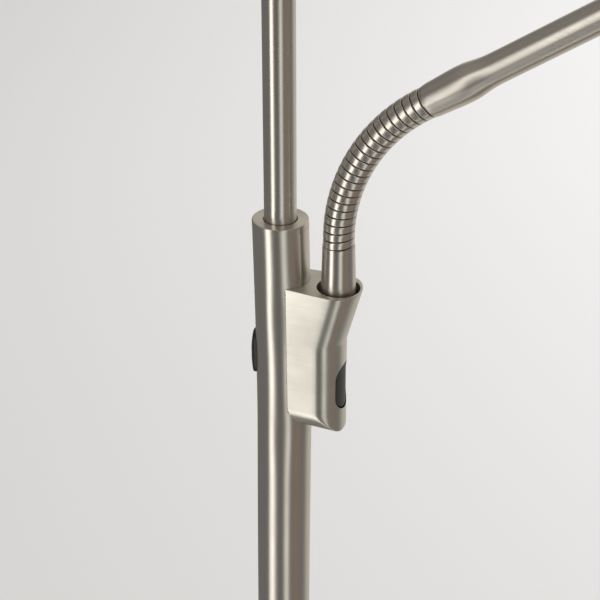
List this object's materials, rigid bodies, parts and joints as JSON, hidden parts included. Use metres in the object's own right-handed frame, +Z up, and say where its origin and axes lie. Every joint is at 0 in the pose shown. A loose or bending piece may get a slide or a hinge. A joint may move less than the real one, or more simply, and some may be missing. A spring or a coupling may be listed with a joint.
{
  "type": "floor lamp",
  "caption": "Uplighter floor lamp with a reading light on a gooseneck arm, push-button switches on the pole and a round weighted base.",
  "frame": {"origin": "centre of the base's felt pad on the floor, under the pole's axis", "axes": "+Z up the pole; +X the way the switch housing's nose and the reading arm point at rest; +Y to the left of +X"},
  "size_m": [0.5228, 0.3, 1.8],
  "materials": {
    "brushed_nickel": "satin brushed",
    "zinc": "zinc plated",
    "cast_weight": "as cast, black",
    "black_plate": "matt black",
    "felt": "felt",
    "black_rubber": "matt",
    "black_plastic": "moulded",
    "front_key": "fine texture",
    "rear_key": "satin",
    "clear_sheath": "milky sheath",
    "board_green": "solder mask",
    "white_plastic": "moulded",
    "aluminium": "plain",
    "brass_nut": "turned",
    "opal": "opal diffuser",
    "lens": "frosted"
  },
  "bodies": {
    "stand": {"base_cover": "brushed_nickel", "base_weight": "cast_weight", "base_plate": "black_plate", "base_plate_screws": "zinc", "base_felt": "felt", "tie_rod": "zinc", "tie_rod_washer": "zinc", "tie_rod_nut": "zinc", "cord_grommet": "black_rubber", "pole_foot_bush": "black_plastic", "pole_lower_section": "brushed_nickel", "pole_coupler": "zinc", "pole_upper_section": "brushed_nickel", "pole_top_plug": "brushed_nickel", "upper_pole": "brushed_nickel", "upper_pole_nut": "brass_nut", "pole_lead": "clear_sheath", "upper_pole_lead": "clear_sheath", "switch_housing": "brushed_nickel", "housing_plug": "black_plastic", "front_switch_board": "board_green", "front_switch_carrier": "black_plastic", "rear_switch_board": "board_green", "rear_switch_carrier": "black_plastic", "swivel_bush": "black_plastic", "dish_shell": "brushed_nickel", "dish_hub": "brushed_nickel", "hub_nut": "zinc", "deck_posts": "aluminium", "heat_plate": "aluminium", "deck_screws": "zinc", "uplight_led_board": "white_plastic", "uplight_driver": "white_plastic", "uplight_diffuser": "opal", "diffuser_ring": "brushed_nickel"},
    "front_button": {"front_button": "front_key"},
    "rear_button": {"rear_button": "rear_key"},
    "swivel": {"gooseneck_ferrule": "brushed_nickel", "swivel_washer": "zinc", "swivel_nut": "brass_nut"},
    "link_01": {"gooseneck_link_01": "brushed_nickel"},
    "link_02": {"gooseneck_link_02": "brushed_nickel"},
    "link_03": {"gooseneck_link_03": "brushed_nickel"},
    "link_04": {"gooseneck_link_04": "brushed_nickel"},
    "link_05": {"gooseneck_link_05": "brushed_nickel"},
    "link_06": {"gooseneck_link_06": "brushed_nickel"},
    "link_07": {"gooseneck_link_07": "brushed_nickel"},
    "link_08": {"gooseneck_link_08": "brushed_nickel"},
    "link_09": {"gooseneck_link_09": "brushed_nickel"},
    "arm": {"gooseneck_end": "brushed_nickel", "arm_tube": "brushed_nickel"},
    "head_mount": {"head_fork": "brushed_nickel", "head_hinge_screw": "zinc", "head_hinge_nut": "zinc"},
    "head": {"head_shell": "brushed_nickel", "head_led_board": "white_plastic", "head_reflector": "aluminium", "head_lens": "lens", "head_lens_ring": "brushed_nickel"}
  },
  "joints": [
    {"name": "swivel_turn", "type": "hinge", "parent": "stand", "child": "swivel", "pos_m": [0.0303, 0, 1.1418], "axis": [0, 0, 1], "range_deg": [-120, 120]},
    {"name": "bend_01", "type": "hinge", "parent": "swivel", "child": "link_01", "pos_m": [0.0303, 0, 1.17892], "axis": [0, 1, 0], "range_deg": [-5.66, 4.4]},
    {"name": "bend_02", "type": "hinge", "parent": "link_01", "child": "link_02", "pos_m": [0.03117, 0, 1.18772], "axis": [0, 1, 0], "range_deg": [-5.66, 4.4]},
    {"name": "bend_03", "type": "hinge", "parent": "link_02", "child": "link_03", "pos_m": [0.03291, 0, 1.19639], "axis": [0, 1, 0], "range_deg": [-5.66, 4.4]},
    {"name": "bend_04", "type": "hinge", "parent": "link_03", "child": "link_04", "pos_m": [0.03549, 0, 1.20484], "axis": [0, 1, 0], "range_deg": [-5.66, 4.4]},
    {"name": "bend_05", "type": "hinge", "parent": "link_04", "child": "link_05", "pos_m": [0.03889, 0, 1.213], "axis": [0, 1, 0], "range_deg": [-5.66, 4.4]},
    {"name": "bend_06", "type": "hinge", "parent": "link_05", "child": "link_06", "pos_m": [0.04308, 0, 1.22078], "axis": [0, 1, 0], "range_deg": [-5.66, 4.4]},
    {"name": "bend_07", "type": "hinge", "parent": "link_06", "child": "link_07", "pos_m": [0.04802, 0, 1.22811], "axis": [0, 1, 0], "range_deg": [-5.66, 4.4]},
    {"name": "bend_08", "type": "hinge", "parent": "link_07", "child": "link_08", "pos_m": [0.05366, 0, 1.23492], "axis": [0, 1, 0], "range_deg": [-5.66, 4.4]},
    {"name": "bend_09", "type": "hinge", "parent": "link_08", "child": "link_09", "pos_m": [0.05994, 0, 1.24114], "axis": [0, 1, 0], "range_deg": [-5.66, 4.4]},
    {"name": "bend_10", "type": "hinge", "parent": "link_09", "child": "arm", "pos_m": [0.0668, 0, 1.24671], "axis": [0, 1, 0], "range_deg": [-5.66, 4.4]},
    {"name": "head_turn", "type": "hinge", "parent": "arm", "child": "head_mount", "pos_m": [0.2959, 0, 1.39778], "axis": [-0.8348, 0, -0.5505], "range_deg": [-90, 90]},
    {"name": "head_tilt", "type": "hinge", "parent": "head_mount", "child": "head", "pos_m": [0.30843, 0, 1.40603], "axis": [0, -1, 0], "range_deg": [-60, 60]},
    {"name": "front_press", "type": "slide", "parent": "stand", "child": "front_button", "axis": [-1, 0, 0], "range_m": [0, 0.0008], "stiffness_N_per_m": 2000, "springref_m": -0.0005},
    {"name": "rear_press", "type": "slide", "parent": "stand", "child": "rear_button", "axis": [1, 0, 0], "range_m": [0, 0.0008], "stiffness_N_per_m": 2000, "springref_m": -0.0005}
  ]
}
